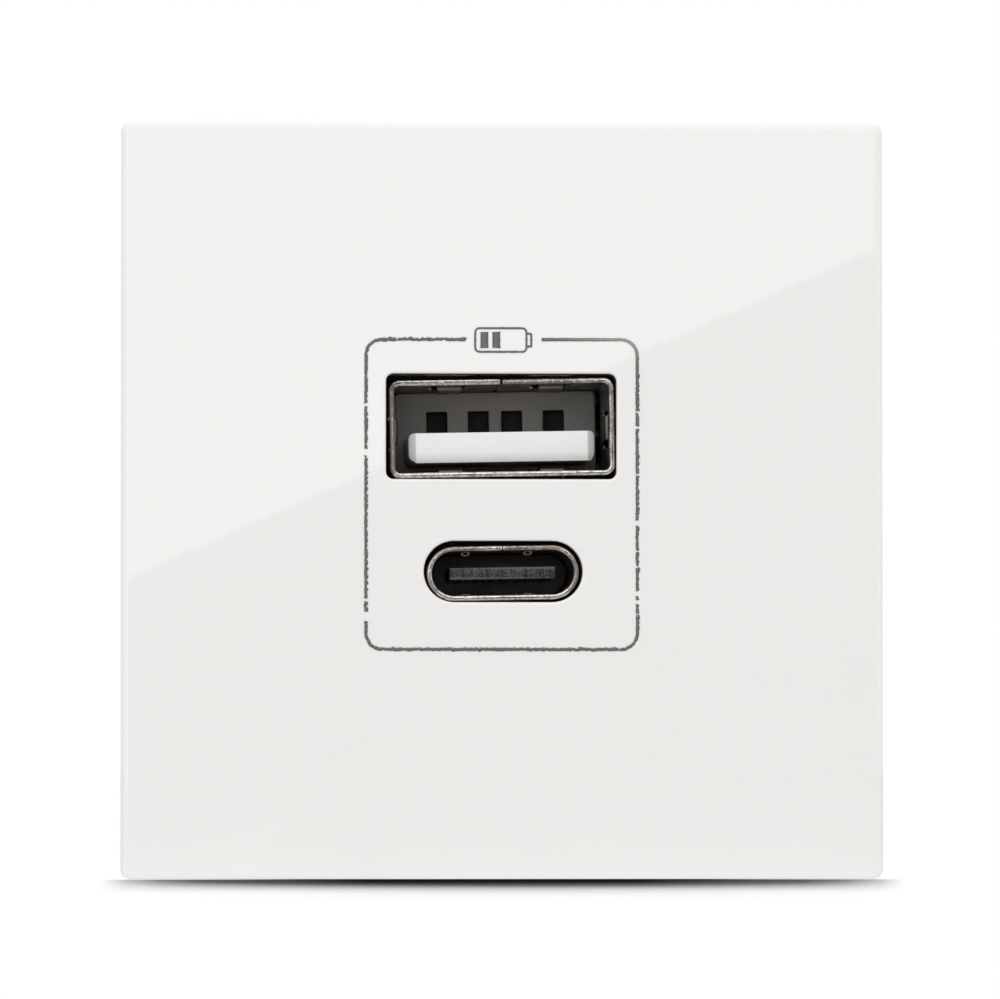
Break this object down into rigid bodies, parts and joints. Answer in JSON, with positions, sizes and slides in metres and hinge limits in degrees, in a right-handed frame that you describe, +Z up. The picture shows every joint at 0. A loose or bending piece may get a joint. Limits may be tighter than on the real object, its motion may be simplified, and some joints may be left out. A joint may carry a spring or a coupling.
{
  "type": "usb wall socket",
  "caption": "White square flush wall charging socket module with one wide and one slim charging port, a thin printed border, and a rear housing with screw terminals.",
  "frame": {"origin": "centre of the cover's rear rim, the plane that seats on the mounting frame", "axes": "+X to the right and +Z up as seen from the front; +Y into the wall, so the front faces -Y"},
  "size_m": [0.0448, 0.0385, 0.0446],
  "materials": {
    "cover_white": "gloss white",
    "ink": "flat dark grey ink",
    "housing_white": "fine matte white",
    "housing_grey": "fine matte light grey",
    "screw_steel": "bright zinc",
    "board_green": "semi-gloss solder mask",
    "nickel": "warm nickel plate",
    "port_white": "satin white",
    "port_black": "satin dark grey",
    "contact_gold": "gold plate",
    "spring_steel": "plain",
    "chip_black": "matte epoxy",
    "can_sleeve": "dark sleeve over a plain can",
    "pin_brass": "tinned",
    "strip_black": "satin",
    "choke_sleeve": "dark ferrite drum",
    "disc_blue": "dipped coat",
    "resistor_coat": "dipped coat",
    "ferrite": "matte dark grey",
    "bobbin_black": "satin",
    "copper_wire": "enamelled",
    "tape_yellow": "smooth film",
    "block_grey": "fine matte",
    "clamp_brass": "plain brass"
  },
  "bodies": {
    "socket": {"front_cover": "cover_white", "printed_border": "ink", "battery_symbol": "ink", "housing_lid": "housing_white", "rear_housing": "housing_grey", "housing_screws": "screw_steel", "usb_board": "board_green", "usb_board_screws": "screw_steel", "usb_a_shell": "nickel", "usb_a_insulator": "port_white", "usb_a_power_contact": "contact_gold", "usb_a_data_minus_contact": "contact_gold", "usb_a_data_plus_contact": "contact_gold", "usb_a_ground_contact": "contact_gold", "usb_c_shell": "nickel", "usb_c_insulator": "port_black", "usb_c_mid_plate": "spring_steel", "usb_c_upper_contacts": "contact_gold", "usb_c_lower_contacts": "contact_gold", "charging_control_chip": "chip_black", "upper_filter_capacitor": "can_sleeve", "lower_filter_capacitor": "can_sleeve", "link_header_pins": "pin_brass", "link_header_strip": "strip_black", "power_board": "board_green", "power_board_screws": "screw_steel", "power_control_chip": "chip_black", "output_rectifier_chip": "chip_black", "bridge_rectifier": "chip_black", "optocoupler": "chip_black", "lower_mains_capacitor": "can_sleeve", "upper_mains_capacitor": "can_sleeve", "output_capacitor": "can_sleeve", "filter_choke": "choke_sleeve", "safety_capacitor": "disc_blue", "fuse_resistor": "resistor_coat", "transformer_core_left": "ferrite", "transformer_core_right": "ferrite", "transformer_bobbin": "bobbin_black", "transformer_pins": "pin_brass", "transformer_winding": "copper_wire", "transformer_tape": "tape_yellow", "terminal_block": "block_grey", "line_terminal_tab": "clamp_brass", "neutral_terminal_tab": "clamp_brass"},
    "line_cage": {"line_terminal_cage": "clamp_brass"},
    "line_screw": {"line_terminal_screw": "screw_steel"},
    "neutral_cage": {"neutral_terminal_cage": "clamp_brass"},
    "neutral_screw": {"neutral_terminal_screw": "screw_steel"}
  },
  "joints": [
    {"name": "line_screw_turn", "type": "hinge", "parent": "socket", "child": "line_screw", "pos_m": [-0.0036, 0.0273, -0.014], "axis": [0, -1, 0], "range_deg": [0, 1440]},
    {"name": "line_cage_slide", "type": "slide", "parent": "socket", "child": "line_cage", "axis": [0, 1, 0], "range_m": [0, 0.002]},
    {"name": "neutral_screw_turn", "type": "hinge", "parent": "socket", "child": "neutral_screw", "pos_m": [0.0036, 0.0273, -0.014], "axis": [0, -1, 0], "range_deg": [0, 1440]},
    {"name": "neutral_cage_slide", "type": "slide", "parent": "socket", "child": "neutral_cage", "axis": [0, 1, 0], "range_m": [0, 0.002]}
  ],
  "couplings": [
    {"joint": "line_screw_turn", "follows": "line_cage_slide", "rad_per_m": 12566},
    {"joint": "neutral_screw_turn", "follows": "neutral_cage_slide", "rad_per_m": 12566}
  ]
}
